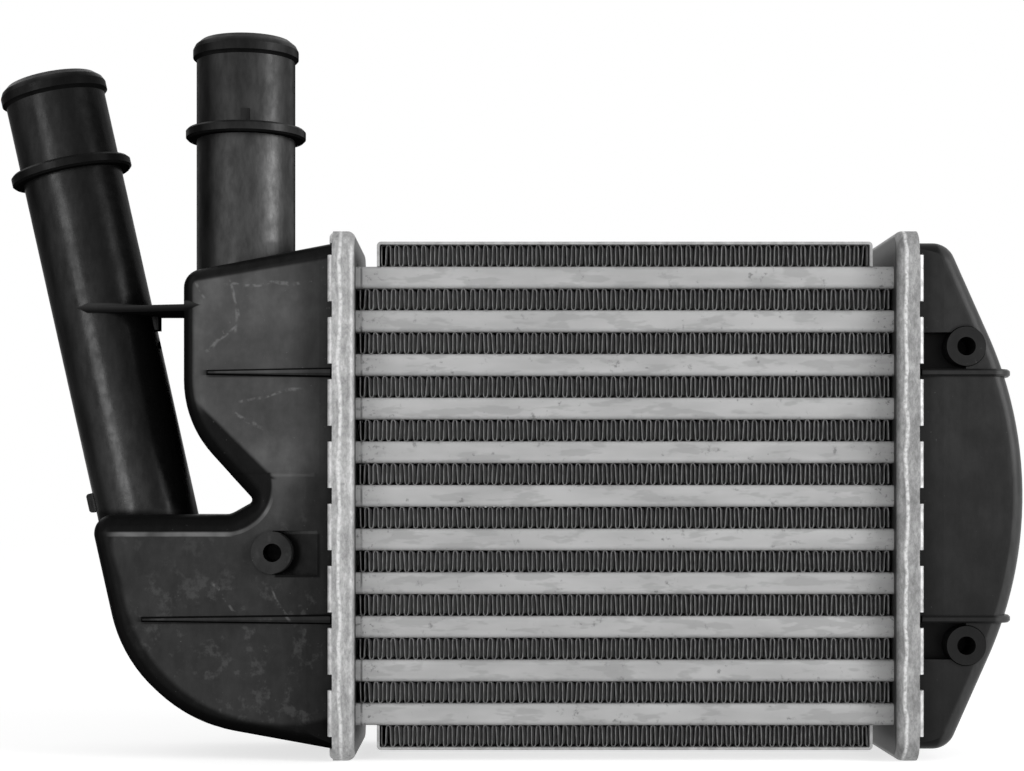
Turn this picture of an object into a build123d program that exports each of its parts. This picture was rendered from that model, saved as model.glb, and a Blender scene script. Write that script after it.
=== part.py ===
from build123d import *
import os
from math import cos, radians, sin, tan

# Charge-air cooler for an engine: a brazed block of flat tubes and corrugated
# fins, crimped at each side to a moulded plastic tank. The left tank carries
# both hose stubs and a baffle, so the air goes across the upper tubes, turns
# in the right tank and comes back through the lower ones.
#
# Millimetres, +Z up, front towards -Y. Everything is modelled about the
# centre of the core and moved at the end, so that the origin is at the
# middle of the overall box, on the plane of the header plates' lower ends.

# Tubes and what is inside them
TUBE_COUNT = 11
UPPER_PASS_TUBES = 5
TUBE_HEIGHT = 8.2
TUBE_DEPTH = 62.0
TUBE_WALL = 0.5
TUBE_CORNER = 1.6
TURBULATOR_SHEET = 0.3
TURBULATOR_FOLDS = 6
TURBULATOR_SETBACK = 1.0

# Corrugated fins
FIN_HEIGHT = 8.3
FIN_SETBACK = 1.5
FIN_SHEET = 0.2
FIN_PERIOD = 5.2
FIN_END_GAP = 1.5

# Width of the core between the header plates, and how much shorter its outer rows are
CORE_WIDTH = 203.0
OUTER_ROW_INSET = 9.0
SIDE_PLATE_SHEET = 1.0
SIDE_PLATE_BEND = 1.6

# Header plates: a drawn pan whose rim is cut into tabs and crimped. It reaches past
# the tubes in depth by the lip, and past the outermost tubes in height by the margin.
HEADER_SHEET = 1.5
HEADER_LIP = 6.0
HEADER_MARGIN = 13.4
HEADER_CORNER = 8.0
HEADER_BEND = 3.2
RIM_RISE = 8.5
SLOT_CLEARANCE = 0.05
TUBE_PROUD = 1.5
TAB_ROWS = 8
TAB_NOTCH = 6.0
TAB_END = 6.8
TAB_GRIP = 3.8
END_TAB_WIDTH = 50.0

# Gaskets and tank feet in the header plates
GASKET_THICKNESS = 2.0
GASKET_WIDTH = 2.6
FOOT_CLEARANCE = 0.3
FOOT_RISE = 5.2
CRIMP_CLEARANCE = 0.1

# Moulded tanks. A reach is measured outwards from the top of the tank's foot.
TANK_WALL = 3.0
TANK_FACE_INSET = 5.5
TANK_TOP_INSET = 4.0
LOBE_STEP = 0.7
EDGE_ROUND = 6.5
CORNER_MARGIN = 0.7
THROAT_LENGTH = 10.0
THROAT_INSET = 1.4

# Right tank, a shallow D
RETURN_REACH = 41.2
RETURN_BULGE = 150.0
RETURN_SLANT = 24.0
RETURN_CORNER = 9.0
RIB_Z = 46.5
RIB_WIDTH = 2.8
RIB_PROUD = 3.0
RIB_FACE_PROUD = 1.2
RETURN_BOSS_REACH = 18.4
RETURN_BOSS_Z = 56.4
RETURN_BOSS_RADIUS = 7.4
RETURN_BOSS_PROUD = 0.8
RETURN_POCKET_RISE = 5.3
RETURN_POCKET_DEPTH = 8.0

# Left tank, upper chamber: its shoulder is above the baffle and its neck below
CHAMBER_REACH = 56.9
CHAMBER_SLOPE = 11.0
CHAMBER_SHOULDER_RISE = 19.45
CHAMBER_SHOULDER_ROUND = 42.0
NECK_REACH = 30.0
NECK_DROP = 10.05
NECK_ROUND = 1.6

# Left tank, lower lobe: its top is below the neck, its knee and toe above its foot's end
LOBE_DROP = 5.2
LOBE_RAMP_RUN = 9.3
LOBE_RAMP_ROUND = 9.0
LOBE_SIDE_INSET = 1.9
LOBE_KNEE_RISE = 34.2
LOBE_KNEE_ROUND = 55.0
LOBE_TOE_REACH = 53.7
LOBE_TOE_RISE = 9.8
LOBE_TOE_ROUND = 58.0
FEED_BOSS_REACH = 22.5
FEED_BOSS_DROP = 14.4
FEED_BOSS_RADIUS = 8.0
FEED_BOSS_PROUD = 1.6
FEED_POCKET_DEPTH = 5.0
FEED_POCKET_END = 3.4
CHAMBER_RIB_LENGTH = 47.5
LOBE_RIB_LENGTH = 72.0
FACE_RIB_WIDTH = 3.8
FACE_RIB_TIP = 2.0
FACE_RIB_PROUD = 1.4
FACE_RIB_DRAFT = 26.0
FACE_RIB_ROOT = 2.5

# Blind holes of the screw bosses
BOSS_HOLE_RADIUS = 3.5
BOSS_HOLE_DEPTH = 16.0
POCKET_CLEARANCE = 0.3

# Hose stubs
STUB_RADIUS = 19.25
STUB_WALL = 3.0
BEAD_RADIUS = 20.6
BEAD_LAND = 3.0
BEAD_SHOULDER = 1.3
BEAD_NOSE = 3.7
NOSE_RADIUS = 17.4
COLLAR_RADIUS = 23.4
COLLAR_THICKNESS = 4.2
COLLAR_BEVEL = 0.8
MOUTH_TO_COLLAR = 36.6
UPRIGHT_REACH = 36.3
UPRIGHT_RISE = 82.0
UPRIGHT_ROOT = 14.0
LEANING_REACH = 74.8
LEANING_RISE = 66.6
LEANING_ROOT = 28.0
LEAN = 12.6
STUB_FADE = 2.2
BORE_ROOT = 12.0

# Locating mark above the upright stub's collar, and lug by the leaning stub's root
MARK_OFFSET = 2.0
MARK_WIDTH = 3.5
MARK_HEIGHT = 5.0
MARK_PROUD = 0.8
LUG_RISE = 9.0
LUG_HEIGHT = 7.5
LUG_THICKNESS = 4.0
LUG_PROUD = 2.6
LUG_ROUND = 1.2

# Web between the leaning stub and the upper chamber
WEB_DROP = 24.5
WEB_THICKNESS = 2.5
WEB_FRONT = -27.0
WEB_BACK = 4.0
WEB_TIP = 1.5
GUSSET_REACH = 70.1
GUSSET_DROP = 6.5

# Sizes that follow from the ones above
TUBE_PITCH = TUBE_HEIGHT + FIN_HEIGHT
CORE_TOP = (TUBE_COUNT - 1) / 2 * TUBE_PITCH + TUBE_HEIGHT / 2
BAFFLE_Z = ((TUBE_COUNT - 1) / 2 - UPPER_PASS_TUBES + 0.5) * TUBE_PITCH
OUTER_ROW_WIDTH = CORE_WIDTH - 2 * OUTER_ROW_INSET
FIN_DEPTH = TUBE_DEPTH - 2 * FIN_SETBACK
HEADER_DEPTH = TUBE_DEPTH + 2 * HEADER_LIP
HEADER_HEIGHT = 2 * (CORE_TOP + HEADER_MARGIN)
TAB_PITCH = (HEADER_HEIGHT - 2 * TAB_END) / TAB_ROWS
HEADER_FACE = CORE_WIDTH / 2
HEADER_INNER = HEADER_FACE + HEADER_SHEET
HEADER_RIM = HEADER_FACE + RIM_RISE
FOOT_FACE = HEADER_INNER + GASKET_THICKNESS
FOOT_TOP = FOOT_FACE + FOOT_RISE
TUBE_LENGTH = 2 * (HEADER_INNER + TUBE_PROUD)
TANK_TOP = HEADER_HEIGHT / 2 - TANK_TOP_INSET
TANK_HALF_DEPTH = HEADER_DEPTH / 2 - TANK_FACE_INSET
LOBE_HALF_DEPTH = TANK_HALF_DEPTH + LOBE_STEP
CORNER_ROUND = EDGE_ROUND + CORNER_MARGIN
RETURN_X = FOOT_TOP + RETURN_REACH
RETURN_BOSS_X = FOOT_TOP + RETURN_BOSS_REACH
CHAMBER_LEFT = -FOOT_TOP - CHAMBER_REACH
CHAMBER_SHOULDER_Z = BAFFLE_Z + CHAMBER_SHOULDER_RISE
NECK_X = -FOOT_TOP - NECK_REACH
NECK_Z = BAFFLE_Z - NECK_DROP
LOBE_TOP = NECK_Z - LOBE_DROP
FEED_BOSS_X = -FOOT_TOP - FEED_BOSS_REACH
FEED_BOSS_Z = LOBE_TOP - FEED_BOSS_DROP
UPRIGHT_STUB_X = -FOOT_TOP - UPRIGHT_REACH
LEANING_STUB_X = -FOOT_TOP - LEANING_REACH
WEB_Z = TANK_TOP - WEB_DROP


def tube_height_position(number):
    """Height of the middle of a tube, numbered from the top."""
    return ((TUBE_COUNT + 1) / 2 - number) * TUBE_PITCH


def inner_chamfer(outer_round, wall):
    """Size of the inner chamfer that keeps the full wall behind a rounded edge."""
    return (outer_round - wall) * (2 - 2**0.5)


def rounded_plate(depth, height, corner):
    """Plate outline seen along X, depth by height."""
    return Plane.YZ * RectangleRounded(depth, height, corner)


def slab(outline, start, end):
    """Solid over an outline that lies across X, from start to end."""
    return Pos(start, 0, 0) * extrude(outline, amount=end - start)


def zigzag(length, height, folds, sheet):
    """Outline of a folded sheet, length along x, its folds up and down in y."""
    step = length / folds / 2
    wall = (step**2 + height**2) ** 0.5
    rise = sheet * wall / step
    upper = []
    lower = []
    for index in range(2 * folds + 1):
        x = index * step - length / 2
        crest = index % 2 == 1
        upper.append((x, height / 2 if crest else rise - height / 2))
        lower.append((x, height / 2 - rise if crest else -height / 2))
    return make_face(Polyline(*upper, *reversed(lower), close=True))


def flat_tube(z):
    section = RectangleRounded(TUBE_DEPTH, TUBE_HEIGHT, TUBE_CORNER)
    section -= offset(section, amount=-TUBE_WALL)
    return Pos(0, 0, z) * extrude(Plane.YZ * section, amount=TUBE_LENGTH / 2, both=True)


def turbulator(z):
    """Folded sheet brazed inside a tube, its channels along the tube."""
    height = TUBE_HEIGHT - 2 * TUBE_WALL
    width = TUBE_DEPTH - 2 * TUBE_CORNER
    outline = zigzag(width, height, TURBULATOR_FOLDS, TURBULATOR_SHEET)
    half_length = TUBE_LENGTH / 2 - TURBULATOR_SETBACK
    return Pos(0, 0, z) * extrude(Plane.YZ * outline, amount=half_length, both=True)


def corrugated_fin(z, width):
    """Folded fin sheet between two tubes, its channels from front to back."""
    folds = round(width / FIN_PERIOD)
    outline = zigzag(width, FIN_HEIGHT, folds, FIN_SHEET)
    return Pos(0, 0, z) * extrude(Plane.XZ * outline, amount=FIN_DEPTH / 2, both=True)


def side_plate():
    """Upper cover sheet, with an end bent down to the tube at each side."""
    inside = CORE_TOP + FIN_HEIGHT
    half_width = OUTER_ROW_WIDTH / 2 + SIDE_PLATE_SHEET
    sheet = Pos(0, 0, (CORE_TOP + inside + SIDE_PLATE_SHEET) / 2) * Box(
        2 * half_width, TUBE_DEPTH, FIN_HEIGHT + SIDE_PLATE_SHEET
    )
    bends = sheet.edges().filter_by(Axis.Y).group_by(Axis.Z)[-1]
    sheet = fillet(bends, SIDE_PLATE_BEND)
    hollow = Pos(0, 0, CORE_TOP + FIN_HEIGHT / 2) * Box(OUTER_ROW_WIDTH, TUBE_DEPTH, FIN_HEIGHT)
    tuck = hollow.edges().filter_by(Axis.Y).group_by(Axis.Z)[-1]
    return sheet - fillet(tuck, SIDE_PLATE_BEND - SIDE_PLATE_SHEET)


def crimp_tab(half_span, length):
    """Tab that rises from the rim at y = -half_span and folds in over the foot."""
    inner_face = FOOT_TOP + CRIMP_CLEARANCE
    outer_face = inner_face + HEADER_SHEET
    radius = outer_face - HEADER_RIM
    bend = TangentArc((HEADER_RIM, -half_span), (outer_face, radius - half_span), tangent=(1, 0))
    grip = Polyline(
        (outer_face, radius - half_span),
        (outer_face, TAB_GRIP - half_span),
        (inner_face, TAB_GRIP - half_span),
        (inner_face, HEADER_SHEET - half_span),
        (HEADER_RIM, HEADER_SHEET - half_span),
        (HEADER_RIM, -half_span),
    )
    return extrude(make_face([bend, *grip.edges()]), amount=length / 2, both=True)


def header_plate():
    """Right header plate. The left one is its mirror image."""
    blank = rounded_plate(HEADER_DEPTH, HEADER_HEIGHT, HEADER_CORNER)
    pan = slab(blank, HEADER_FACE, HEADER_RIM)
    pan = fillet(pan.edges().group_by(Axis.X)[0], HEADER_BEND)
    inside = rounded_plate(
        HEADER_DEPTH - 2 * HEADER_SHEET,
        HEADER_HEIGHT - 2 * HEADER_SHEET,
        HEADER_CORNER - HEADER_SHEET,
    )
    hollow = slab(inside, HEADER_INNER, HEADER_RIM)
    tuck = hollow.edges().group_by(Axis.X)[0]
    pan -= chamfer(tuck, inner_chamfer(HEADER_BEND, HEADER_SHEET))
    slot = rounded_plate(
        TUBE_DEPTH + 2 * SLOT_CLEARANCE,
        TUBE_HEIGHT + 2 * SLOT_CLEARANCE,
        TUBE_CORNER + SLOT_CLEARANCE,
    )
    for number in range(1, TUBE_COUNT + 1):
        pan -= Pos(0, 0, tube_height_position(number)) * slab(slot, HEADER_FACE, HEADER_INNER)
    tab = crimp_tab(HEADER_DEPTH / 2, TAB_PITCH - TAB_NOTCH)
    for row in range(TAB_ROWS):
        lifted = Pos(0, 0, (row - (TAB_ROWS - 1) / 2) * TAB_PITCH) * tab
        pan += [lifted, mirror(lifted, Plane.XZ)]
    end_tab = Rot(-90, 0, 0) * crimp_tab(HEADER_HEIGHT / 2, END_TAB_WIDTH)
    pan += [end_tab, mirror(end_tab, Plane.XY)]
    return pan


def tank_foot():
    """Flange of a tank, held in the header plate's channel."""
    inset = 2 * (HEADER_SHEET + FOOT_CLEARANCE)
    outline = rounded_plate(
        HEADER_DEPTH - inset, HEADER_HEIGHT - inset, HEADER_CORNER - inset / 2
    )
    return slab(outline, FOOT_FACE, FOOT_TOP)


def gasket(has_crossbar):
    """Rubber ring under a tank's foot, with a bar under a baffle."""
    depth = HEADER_DEPTH - 2 * HEADER_BEND
    height = HEADER_HEIGHT - 2 * HEADER_BEND
    corner = HEADER_CORNER - HEADER_BEND
    ring = RectangleRounded(depth, height, corner)
    ring -= RectangleRounded(depth - 2 * GASKET_WIDTH, height - 2 * GASKET_WIDTH, corner / 2)
    if has_crossbar:
        ring += Pos(0, BAFFLE_Z) * Rectangle(depth - GASKET_WIDTH, TANK_WALL)
    return slab(Plane.YZ * ring, HEADER_INNER, FOOT_FACE)


def throat_wedges(half_depth):
    """What is taken off the front and back faces of a right tank at its foot."""
    wedge = Polyline(
        (FOOT_FACE - TANK_WALL, -half_depth - TANK_WALL),
        (FOOT_FACE - TANK_WALL, THROAT_INSET - half_depth),
        (FOOT_TOP, THROAT_INSET - half_depth),
        (FOOT_TOP + THROAT_LENGTH, -half_depth),
        (FOOT_TOP + THROAT_LENGTH, -half_depth - TANK_WALL),
        close=True,
    )
    front = extrude(make_face(wedge), amount=HEADER_HEIGHT / 2, both=True)
    return [front, mirror(front, Plane.XZ)]


def moulding(outline, half_depth, ease, size, is_open):
    """Flat-faced body over an outline, its edges eased except at open sides."""
    body = extrude(Plane.XZ * outline, amount=half_depth, both=True)
    rims = body.faces().filter_by(Axis.Y).edges()
    return ease(rims.filter_by(lambda edge: not is_open(edge.center())), size)


def return_outline(reach_in):
    """D-shaped outline of the right tank, from the foot at x = reach_in."""
    turn = radians(RETURN_SLANT)
    middle = RETURN_X - RETURN_BULGE
    arc_x = middle + RETURN_BULGE * cos(turn)
    arc_z = RETURN_BULGE * sin(turn)
    corner_x = arc_x - (TANK_TOP - arc_z) * tan(turn)
    top = FilletPolyline(
        (reach_in, TANK_TOP), (corner_x, TANK_TOP), (arc_x, arc_z), radius=RETURN_CORNER
    )
    bulge = ThreePointArc((arc_x, arc_z), (RETURN_X, 0), (arc_x, -arc_z))
    foot = Line((reach_in, -TANK_TOP), (reach_in, TANK_TOP))
    return make_face([*top.edges(), bulge, *mirror(top, Plane.XZ).edges(), foot])


def return_rib():
    """Level rib that wraps round the right tank."""
    wall_x = RETURN_X - RETURN_BULGE + (RETURN_BULGE**2 - RIB_Z**2) ** 0.5
    half_depth = TANK_HALF_DEPTH + RIB_FACE_PROUD
    start = FOOT_TOP + HEADER_SHEET + 2 * CRIMP_CLEARANCE
    length = wall_x + RIB_PROUD - start
    plate = Pos(start + length / 2, 0, 0) * Box(length, 2 * half_depth, RIB_WIDTH)
    plate = fillet(plate.edges().filter_by(Axis.Z).group_by(Axis.X)[-1], EDGE_ROUND + RIB_PROUD)
    flats = plate.faces().filter_by(Axis.Z).edges().filter_by(lambda e: e.center().X > start)
    return chamfer(flats, RIB_WIDTH / 4)


def upper_outline(reach_in, floor):
    """Outline of the left tank's upper chamber, above z = floor."""
    drop = tan(radians(CHAMBER_SLOPE))
    left_top = TANK_TOP - CHAMBER_REACH * drop
    fall = (CHAMBER_SHOULDER_Z - NECK_Z) / (NECK_X - CHAMBER_LEFT)
    floor_x = NECK_X - (floor - NECK_Z) / fall
    line = FilletPolyline(
        (reach_in, TANK_TOP + (reach_in + FOOT_TOP) * drop),
        (CHAMBER_LEFT, left_top),
        (CHAMBER_LEFT, CHAMBER_SHOULDER_Z),
        (floor_x, floor),
        radius=[CORNER_ROUND, CHAMBER_SHOULDER_ROUND],
    )
    base = Polyline((floor_x, floor), (reach_in, floor), line @ 0)
    return make_face([*line.edges(), *base.edges()])


def lobe_side_x(z):
    """Left wall of the lobe at a height, in line with the leaning stub."""
    lean = radians(LEAN)
    return LEANING_STUB_X - (z - LOBE_TOP) * tan(lean) - STUB_RADIUS / cos(lean) + LOBE_SIDE_INSET


def lower_outline(reach_in, ceiling):
    """Outline of the left tank's lower lobe, below z = ceiling."""
    fall = (CHAMBER_SHOULDER_Z - NECK_Z) / (NECK_X - CHAMBER_LEFT)
    ceiling_x = NECK_X - (ceiling - NECK_Z) / fall
    knee_z = LOBE_KNEE_RISE - TANK_TOP
    toe_x = -FOOT_TOP - LOBE_TOE_REACH
    toe_z = LOBE_TOE_RISE - TANK_TOP
    toe_slope = LOBE_TOE_RISE / LOBE_TOE_REACH
    line = FilletPolyline(
        (ceiling_x, ceiling),
        (NECK_X, NECK_Z),
        (NECK_X - LOBE_RAMP_RUN, LOBE_TOP),
        (lobe_side_x(LOBE_TOP), LOBE_TOP),
        (lobe_side_x(knee_z), knee_z),
        (toe_x, toe_z),
        (reach_in, -TANK_TOP - (reach_in + FOOT_TOP) * toe_slope),
        radius=[NECK_ROUND, LOBE_RAMP_ROUND, CORNER_ROUND, LOBE_KNEE_ROUND, LOBE_TOE_ROUND],
    )
    side = Polyline(line @ 1, (reach_in, ceiling), (ceiling_x, ceiling))
    return make_face([*line.edges(), *side.edges()])


def boss_post(x, z, radius, half_depth, proud):
    """Screw boss that stands from the face of a tank, and its post inside."""
    length = BOSS_HOLE_DEPTH + TANK_WALL + proud
    post = extrude(Plane.XZ * Circle(radius), amount=length)
    return Pos(x, length - half_depth - proud, z) * post


def boss_hole(x, z, half_depth, proud):
    hole = extrude(Plane.XZ * Circle(BOSS_HOLE_RADIUS), amount=BOSS_HOLE_DEPTH)
    return Pos(x, BOSS_HOLE_DEPTH - half_depth - proud, z) * hole


def return_pocket(wall):
    """Recess between the right tank's foot, upper rib and boss, grown by a wall."""
    low = RIB_Z + RIB_WIDTH / 2 - wall
    high = RETURN_BOSS_Z + RETURN_POCKET_RISE + wall
    run = RETURN_BOSS_REACH + wall
    floor = RETURN_POCKET_DEPTH + wall - TANK_HALF_DEPTH
    outline = Pos(FOOT_TOP + run / 2, (low + high) / 2) * Rectangle(run, high - low)
    outline += Pos(RETURN_BOSS_X, RETURN_BOSS_Z) * Circle(
        RETURN_BOSS_RADIUS + POCKET_CLEARANCE + wall
    )
    return Pos(0, floor, 0) * extrude(Plane.XZ * outline, amount=TANK_HALF_DEPTH)


def feed_pocket(wall):
    """Dip beside the left tank's boss, running out towards the foot, grown by a wall."""
    face = -LOBE_HALF_DEPTH
    plan = Polyline(
        (FEED_BOSS_X, 2 * face),
        (FEED_BOSS_X, face + FEED_POCKET_DEPTH + wall),
        (-FOOT_TOP - FEED_POCKET_END, face + wall),
        (-FOOT_TOP - FEED_POCKET_END, 2 * face),
        close=True,
    )
    half_height = FEED_BOSS_RADIUS + POCKET_CLEARANCE + wall
    return Pos(0, 0, FEED_BOSS_Z) * extrude(make_face(plan), amount=half_height, both=True)


def return_tank():
    """Right tank: one moulding that turns the air back."""
    outer = moulding(
        return_outline(FOOT_FACE),
        TANK_HALF_DEPTH,
        fillet,
        EDGE_ROUND,
        lambda point: point.X < FOOT_FACE + 0.1,
    )
    outer -= throat_wedges(TANK_HALF_DEPTH)
    outer += [Pos(0, 0, RIB_Z) * return_rib(), Pos(0, 0, -RIB_Z) * return_rib()]
    outer += tank_foot()
    hollow = moulding(
        offset(return_outline(FOOT_FACE - 2 * TANK_WALL), amount=-TANK_WALL),
        TANK_HALF_DEPTH - TANK_WALL,
        chamfer,
        inner_chamfer(EDGE_ROUND, TANK_WALL),
        lambda point: point.X < FOOT_FACE,
    )
    hollow -= throat_wedges(TANK_HALF_DEPTH - TANK_WALL)
    recess = return_pocket(0)
    liner = return_pocket(TANK_WALL)
    post = boss_post(
        RETURN_BOSS_X, RETURN_BOSS_Z, RETURN_BOSS_RADIUS, TANK_HALF_DEPTH, RETURN_BOSS_PROUD
    )
    hole = boss_hole(RETURN_BOSS_X, RETURN_BOSS_Z, TANK_HALF_DEPTH, RETURN_BOSS_PROUD)
    outer -= [recess, mirror(recess, Plane.XY)]
    outer += [post, mirror(post, Plane.XY)]
    hollow -= [liner, mirror(liner, Plane.XY), post, mirror(post, Plane.XY)]
    return outer - hollow - [hole, mirror(hole, Plane.XY)]


def stub_body(length, root):
    """Hose stub about the Z axis from -root up to its mouth at z = length."""
    collar = length - MOUTH_TO_COLLAR
    land_top = length - BEAD_NOSE
    land_foot = land_top - BEAD_LAND
    profile = Polyline(
        (0, -root),
        (STUB_RADIUS - STUB_FADE, -root),
        (STUB_RADIUS, 3 * STUB_FADE - root),
        (STUB_RADIUS, land_foot - BEAD_SHOULDER),
        (BEAD_RADIUS, land_foot),
        (BEAD_RADIUS, land_top),
        (BEAD_RADIUS - BEAD_NOSE / 4, length - BEAD_NOSE / 2),
        (NOSE_RADIUS, length),
        (0, length),
        close=True,
    )
    ring = Pos(0, 0, collar) * Cylinder(COLLAR_RADIUS, COLLAR_THICKNESS)
    ring = chamfer(ring.edges().filter_by(GeomType.CIRCLE), COLLAR_BEVEL)
    return revolve(Plane.XZ * make_face(profile), Axis.Z) + ring


def locating_mark(length):
    """Small raised mark on the front of a stub, standing on its collar."""
    foot = length - MOUTH_TO_COLLAR + COLLAR_THICKNESS / 2
    depth = MARK_PROUD + STUB_WALL / 2
    y = depth / 2 - STUB_RADIUS - MARK_PROUD
    return Pos(MARK_OFFSET, y, foot + MARK_HEIGHT / 2) * Box(MARK_WIDTH, depth, MARK_HEIGHT)


def side_lug():
    """Moulded lug on the outer side of a stub, on the parting plane."""
    depth = LUG_PROUD + STUB_WALL / 2
    block = Box(depth, LUG_THICKNESS, LUG_HEIGHT)
    corners = block.edges().filter_by(Axis.Y).group_by(Axis.X)[0]
    return Pos(depth / 2 - STUB_RADIUS - LUG_PROUD, 0, LUG_RISE) * fillet(corners, LUG_ROUND)


def stub_bore(length, root):
    bore_radius = STUB_RADIUS - STUB_WALL
    return Pos(0, 0, (length - root) / 2) * Cylinder(bore_radius, length + root)


def face_rib(length, z, half_depth):
    """Drafted rib on the front of the left tank, narrowing from the foot to its tip."""
    start = -FOOT_TOP
    end = start - length
    outline = Polyline(
        (start, FACE_RIB_WIDTH / 2),
        (end, FACE_RIB_TIP / 2),
        (end, -FACE_RIB_TIP / 2),
        (start, -FACE_RIB_WIDTH / 2),
        close=True,
    )
    base = Plane.XZ * make_face(outline)
    crest = extrude(base, amount=FACE_RIB_PROUD, taper=FACE_RIB_DRAFT)
    root = extrude(base, amount=-FACE_RIB_ROOT)
    return Pos(0, -half_depth, z) * (crest + root)


def tank_web():
    """Level web that ties the leaning stub to the upper chamber, and its gusset."""
    axis_x = LEANING_STUB_X - (WEB_Z - LOBE_TOP) * tan(radians(LEAN))
    plan = Polyline(
        (axis_x - STUB_RADIUS / 3, -STUB_RADIUS + WEB_TIP),
        (axis_x + STUB_RADIUS / 2, -STUB_RADIUS - WEB_TIP),
        (CHAMBER_LEFT, WEB_FRONT),
        (CHAMBER_LEFT + EDGE_ROUND, -TANK_HALF_DEPTH),
        (CHAMBER_LEFT + EDGE_ROUND, WEB_BACK),
        (axis_x, WEB_BACK),
        close=True,
    )
    web = Pos(0, 0, WEB_Z) * extrude(make_face(plan), amount=WEB_THICKNESS / 2, both=True)
    gusset_x = -FOOT_TOP - GUSSET_REACH
    gusset = Box(gusset_x - axis_x, 2 * WEB_BACK, GUSSET_DROP)
    return web + Pos((gusset_x + axis_x) / 2, 0, WEB_Z - GUSSET_DROP / 2) * gusset


def feed_cavity():
    """Air space of both chambers of the left tank."""
    def is_open(point):
        return point.X > -FOOT_FACE or abs(point.Z - BAFFLE_Z) < TANK_WALL

    reach_in = 2 * TANK_WALL - FOOT_FACE
    upper = moulding(
        offset(upper_outline(reach_in, BAFFLE_Z - TANK_WALL / 2), amount=-TANK_WALL),
        TANK_HALF_DEPTH - TANK_WALL,
        chamfer,
        inner_chamfer(EDGE_ROUND, TANK_WALL),
        is_open,
    )
    lower = moulding(
        offset(lower_outline(reach_in, BAFFLE_Z + TANK_WALL / 2), amount=-TANK_WALL),
        LOBE_HALF_DEPTH - TANK_WALL,
        chamfer,
        inner_chamfer(EDGE_ROUND, TANK_WALL),
        is_open,
    )
    return upper + lower - mirror(throat_wedges(TANK_HALF_DEPTH - TANK_WALL), Plane.YZ)


def feed_tank():
    """Left tank: one moulding with two chambers, a baffle and both stubs."""
    def is_open(point):
        return point.X > -FOOT_FACE - 0.1 or abs(point.Z - BAFFLE_Z) < 0.1

    chamber = upper_outline(-FOOT_FACE, BAFFLE_Z)
    lobe = lower_outline(-FOOT_FACE, BAFFLE_Z)
    outer = moulding(chamber, TANK_HALF_DEPTH, fillet, EDGE_ROUND, is_open)
    outer += moulding(lobe, LOBE_HALF_DEPTH, fillet, EDGE_ROUND, is_open)
    outer -= mirror(throat_wedges(LOBE_HALF_DEPTH), Plane.YZ)
    outer += mirror(tank_foot(), Plane.YZ)
    for length, z, half_depth in (
        (CHAMBER_RIB_LENGTH, RIB_Z, TANK_HALF_DEPTH),
        (LOBE_RIB_LENGTH, -RIB_Z, LOBE_HALF_DEPTH),
    ):
        rib = face_rib(length, z, half_depth)
        outer += [rib, mirror(rib, Plane.XZ)]
    outer += tank_web()

    upright_base = TANK_TOP - UPRIGHT_REACH * tan(radians(CHAMBER_SLOPE))
    upright_length = TANK_TOP + UPRIGHT_RISE - upright_base
    upright = Pos(UPRIGHT_STUB_X, 0, upright_base)
    leaning_length = (TANK_TOP + LEANING_RISE - LOBE_TOP) / cos(radians(LEAN))
    leaning = Pos(LEANING_STUB_X, 0, LOBE_TOP) * Rot(0, -LEAN, 0)
    outer += upright * stub_body(upright_length, UPRIGHT_ROOT)
    outer += upright * locating_mark(upright_length)
    outer += leaning * stub_body(leaning_length, LEANING_ROOT)
    outer += leaning * side_lug()

    hollow = feed_cavity()
    post = boss_post(FEED_BOSS_X, FEED_BOSS_Z, FEED_BOSS_RADIUS, LOBE_HALF_DEPTH, FEED_BOSS_PROUD)
    outer -= feed_pocket(0)
    outer += post
    hollow -= [feed_pocket(TANK_WALL), post]
    tank = outer - hollow
    tank -= boss_hole(FEED_BOSS_X, FEED_BOSS_Z, LOBE_HALF_DEPTH, FEED_BOSS_PROUD)
    tank -= upright * stub_bore(upright_length, UPRIGHT_ROOT)
    tank -= leaning * stub_bore(leaning_length, BORE_ROOT)
    return tank


def nodes():
    """Every piece, by its node's name, about the centre of the core."""
    pieces = {
        "stub_tank": feed_tank(),
        "return_tank": return_tank(),
        "header_plate_right": header_plate(),
        "gasket_left": mirror(gasket(True), Plane.YZ),
        "gasket_right": gasket(False),
        "side_plate_top": side_plate(),
    }
    pieces["header_plate_left"] = mirror(pieces["header_plate_right"], Plane.YZ)
    pieces["side_plate_bottom"] = mirror(pieces["side_plate_top"], Plane.XY)
    for number in range(1, TUBE_COUNT + 1):
        z = tube_height_position(number)
        pieces[f"tube_{number:02d}"] = flat_tube(z)
        pieces[f"turbulator_{number:02d}"] = turbulator(z)
    for row in range(TUBE_COUNT + 1):
        width = CORE_WIDTH - 2 * FIN_END_GAP
        if row in (0, TUBE_COUNT):
            width = OUTER_ROW_WIDTH - 2 * (SIDE_PLATE_BEND - SIDE_PLATE_SHEET)
        z = tube_height_position(row + 0.5)
        pieces[f"fin_row_{row + 1:02d}"] = corrugated_fin(z, width)
    return pieces


def main():
    pieces = nodes()
    left = pieces["stub_tank"].bounding_box().min.X
    right = pieces["return_tank"].bounding_box().max.X
    to_origin = Pos(-(left + right) / 2, 0, HEADER_HEIGHT / 2)
    os.makedirs("parts", exist_ok=True)
    for name, piece in pieces.items():
        export_step(to_origin * piece, f"parts/{name}.step")


main()
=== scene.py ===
import random
from collections import namedtuple
from math import cos, radians, sin

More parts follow.
